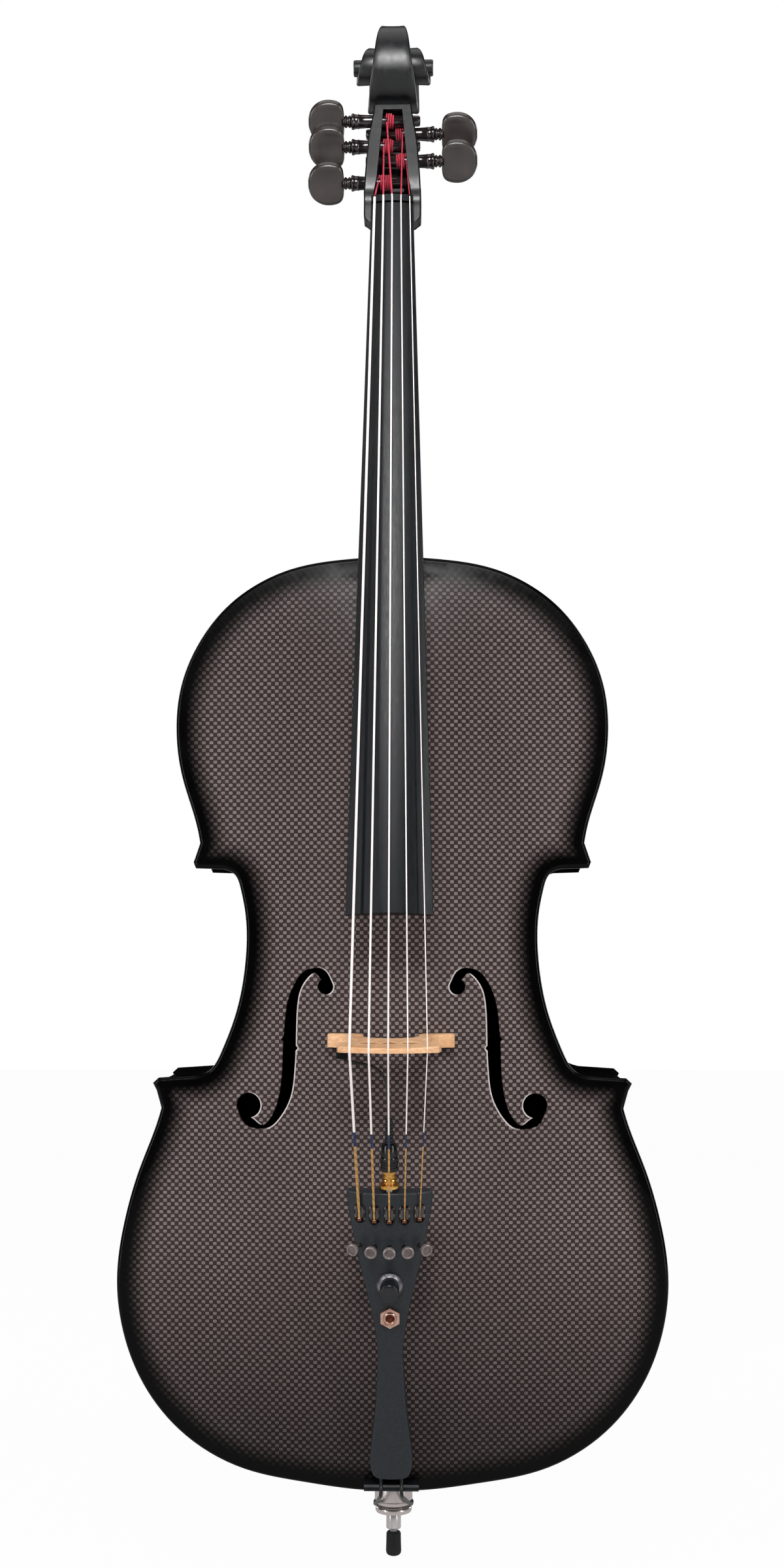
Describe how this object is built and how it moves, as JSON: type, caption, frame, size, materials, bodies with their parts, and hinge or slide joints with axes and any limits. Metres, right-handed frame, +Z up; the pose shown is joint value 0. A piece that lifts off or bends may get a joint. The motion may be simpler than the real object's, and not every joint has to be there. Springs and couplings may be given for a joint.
{
  "type": "electric cello",
  "caption": "Full-size cello with hollow arched body, scroll, friction pegs, lever tuners in the tailpiece, bridge pickup, output socket and sliding endpin",
  "frame": {"origin": "middle of the underside of the rubber endpin tip", "axes": "+Z up along the body to the scroll, -Y out of the front towards the player's audience, +X to the right as seen from the front"},
  "size_m": [0.447, 0.2593, 1.2772],
  "materials": {
    "front": "clear-coated checked weave fading to black at the edges",
    "gloss": "glossy black lacquer",
    "spruce": "plain planed softwood",
    "neck": "satin black lacquer",
    "ebony": "dark satin hardwood",
    "bridge": "pale orange maple",
    "peg": "dark brown satin hardwood",
    "silk": "crimson silk wrap",
    "string": "flat-wound metal",
    "tailpiece": "dark blue-grey satin",
    "cord": "black",
    "knob": "black",
    "dark_metal": "dark nickel",
    "nickel": "nickel plate",
    "gold": "gold plate",
    "rubber": "black rubber"
  },
  "bodies": {
    "instrument": {"top_plate": "front", "back_plate": "gloss", "rib_garland": "gloss", "neck_block": "spruce", "end_block": "spruce", "sound_post": "spruce", "bass_bar": "spruce", "neck_scroll": "neck", "fingerboard": "ebony", "nut": "ebony", "bridge": "bridge", "saddle": "ebony", "tail_cord": "cord", "tailpiece": "tailpiece", "tuner_pivot_pin": "nickel", "volume_pot": "nickel", "output_jack": "nickel", "jack_nut": "nickel", "pickup": "knob", "pickup_lead": "cord", "pickup_plug": "gold", "pickup_socket": "nickel", "endpin_plug": "dark_metal", "string_1": "string", "string_2": "string", "string_3": "string", "string_4": "string", "string_5": "string"},
    "clamp_nut": {"endpin_clamp_nut": "nickel"},
    "endpin": {"endpin_rod": "nickel", "endpin_ferrule": "nickel", "endpin_tip": "rubber"},
    "volume": {"volume_knob": "knob"},
    "peg_body_1": {"peg_1": "peg", "winding_1": "silk"},
    "peg_body_2": {"peg_2": "peg", "winding_2": "silk"},
    "peg_body_3": {"peg_3": "peg", "winding_3": "silk"},
    "peg_body_4": {"peg_4": "peg", "winding_4": "silk"},
    "peg_body_5": {"peg_5": "peg", "winding_5": "silk"},
    "screw_body_1": {"tuner_screw_1": "nickel"},
    "tuner_body_1": {"tuner_knob_1": "dark_metal"},
    "lever_body_1": {"tuner_lever_1": "nickel"},
    "screw_body_2": {"tuner_screw_2": "nickel"},
    "tuner_body_2": {"tuner_knob_2": "dark_metal"},
    "lever_body_2": {"tuner_lever_2": "nickel"},
    "screw_body_3": {"tuner_screw_3": "nickel"},
    "tuner_body_3": {"tuner_knob_3": "dark_metal"},
    "lever_body_3": {"tuner_lever_3": "nickel"},
    "screw_body_4": {"tuner_screw_4": "nickel"},
    "tuner_body_4": {"tuner_knob_4": "dark_metal"},
    "lever_body_4": {"tuner_lever_4": "nickel"},
    "screw_body_5": {"tuner_screw_5": "nickel"},
    "tuner_body_5": {"tuner_knob_5": "dark_metal"},
    "lever_body_5": {"tuner_lever_5": "nickel"}
  },
  "joints": [
    {"name": "peg_turn_1", "type": "hinge", "parent": "instrument", "child": "peg_body_1", "pos_m": [0, -0.0271, 1.14257], "axis": [1, 0, 0], "continuous": true},
    {"name": "peg_turn_2", "type": "hinge", "parent": "instrument", "child": "peg_body_2", "pos_m": [0, -0.022, 1.16221], "axis": [1, 0, 0], "range_deg": [-12, 45]},
    {"name": "peg_turn_3", "type": "hinge", "parent": "instrument", "child": "peg_body_3", "pos_m": [0, -0.02072, 1.17497], "axis": [1, 0, 0], "range_deg": [0, 45]},
    {"name": "peg_turn_4", "type": "hinge", "parent": "instrument", "child": "peg_body_4", "pos_m": [0, -0.01557, 1.18712], "axis": [1, 0, 0], "range_deg": [-12, 45]},
    {"name": "peg_turn_5", "type": "hinge", "parent": "instrument", "child": "peg_body_5", "pos_m": [0, -0.02344, 1.19503], "axis": [1, 0, 0], "range_deg": [0, 45]},
    {"name": "screw_slide_1", "type": "slide", "parent": "instrument", "child": "screw_body_1", "axis": [-0.45, -0.8674, -0.2123], "range_m": [0, 0.0015]},
    {"name": "tuner_turn_1", "type": "hinge", "parent": "screw_body_1", "child": "tuner_body_1", "pos_m": [-0.0234, -0.1244, 0.27962], "axis": [-0.45, -0.8674, -0.2123], "range_deg": [0, 1120]},
    {"name": "lever_pivot_1", "type": "hinge", "parent": "instrument", "child": "lever_body_1", "pos_m": [-0.0234, -0.12022, 0.29341], "axis": [1, 0, 0], "range_deg": [-6.5, 0]},
    {"name": "screw_slide_2", "type": "slide", "parent": "instrument", "child": "screw_body_2", "axis": [-0.225, -0.9464, -0.2316], "range_m": [0, 0.0015]},
    {"name": "tuner_turn_2", "type": "hinge", "parent": "screw_body_2", "child": "tuner_body_2", "pos_m": [-0.0117, -0.1285, 0.27861], "axis": [-0.225, -0.9464, -0.2316], "range_deg": [0, 1120]},
    {"name": "lever_pivot_2", "type": "hinge", "parent": "instrument", "child": "lever_body_2", "pos_m": [-0.0117, -0.12022, 0.29341], "axis": [1, 0, 0], "range_deg": [-6.5, 0]},
    {"name": "screw_slide_3", "type": "slide", "parent": "instrument", "child": "screw_body_3", "axis": [0, -0.9713, -0.2377], "range_m": [0, 0.0015]},
    {"name": "tuner_turn_3", "type": "hinge", "parent": "screw_body_3", "child": "tuner_body_3", "pos_m": [0, -0.1298, 0.2783], "axis": [0, -0.9713, -0.2377], "range_deg": [0, 1120]},
    {"name": "lever_pivot_3", "type": "hinge", "parent": "instrument", "child": "lever_body_3", "pos_m": [0, -0.12022, 0.29341], "axis": [1, 0, 0], "range_deg": [-6.5, 0]},
    {"name": "screw_slide_4", "type": "slide", "parent": "instrument", "child": "screw_body_4", "axis": [0.225, -0.9464, -0.2316], "range_m": [0, 0.0015]},
    {"name": "tuner_turn_4", "type": "hinge", "parent": "screw_body_4", "child": "tuner_body_4", "pos_m": [0.0117, -0.1285, 0.27861], "axis": [0.225, -0.9464, -0.2316], "range_deg": [0, 1120]},
    {"name": "lever_pivot_4", "type": "hinge", "parent": "instrument", "child": "lever_body_4", "pos_m": [0.0117, -0.12022, 0.29341], "axis": [1, 0, 0], "range_deg": [-6.5, 0]},
    {"name": "screw_slide_5", "type": "slide", "parent": "instrument", "child": "screw_body_5", "axis": [0.45, -0.8674, -0.2123], "range_m": [0, 0.0015]},
    {"name": "tuner_turn_5", "type": "hinge", "parent": "screw_body_5", "child": "tuner_body_5", "pos_m": [0.0234, -0.1244, 0.27962], "axis": [0.45, -0.8674, -0.2123], "range_deg": [0, 1120]},
    {"name": "lever_pivot_5", "type": "hinge", "parent": "instrument", "child": "lever_body_5", "pos_m": [0.0234, -0.12022, 0.29341], "axis": [1, 0, 0], "range_deg": [-6.5, 0]},
    {"name": "volume_turn", "type": "hinge", "parent": "instrument", "child": "volume", "pos_m": [0, -0.12248, 0.24838], "axis": [0, -0.9713, -0.2377], "range_deg": [0, 300]},
    {"name": "clamp_turn", "type": "hinge", "parent": "instrument", "child": "clamp_nut", "pos_m": [0, 0, 0.04], "axis": [0, 0, 1], "range_deg": [0, 360]},
    {"name": "endpin_slide", "type": "slide", "parent": "instrument", "child": "endpin", "axis": [0, 0, -1], "range_m": [0, 0.35]}
  ],
  "couplings": [
    {"joint": "tuner_turn_1", "follows": "screw_slide_1", "rad_per_m": 12566},
    {"joint": "lever_pivot_1", "follows": "screw_slide_1", "rad_per_m": -73.3},
    {"joint": "tuner_turn_2", "follows": "screw_slide_2", "rad_per_m": 12566},
    {"joint": "lever_pivot_2", "follows": "screw_slide_2", "rad_per_m": -73.3},
    {"joint": "tuner_turn_3", "follows": "screw_slide_3", "rad_per_m": 12566},
    {"joint": "lever_pivot_3", "follows": "screw_slide_3", "rad_per_m": -73.3},
    {"joint": "tuner_turn_4", "follows": "screw_slide_4", "rad_per_m": 12566},
    {"joint": "lever_pivot_4", "follows": "screw_slide_4", "rad_per_m": -73.3},
    {"joint": "tuner_turn_5", "follows": "screw_slide_5", "rad_per_m": 12566},
    {"joint": "lever_pivot_5", "follows": "screw_slide_5", "rad_per_m": -73.3}
  ]
}
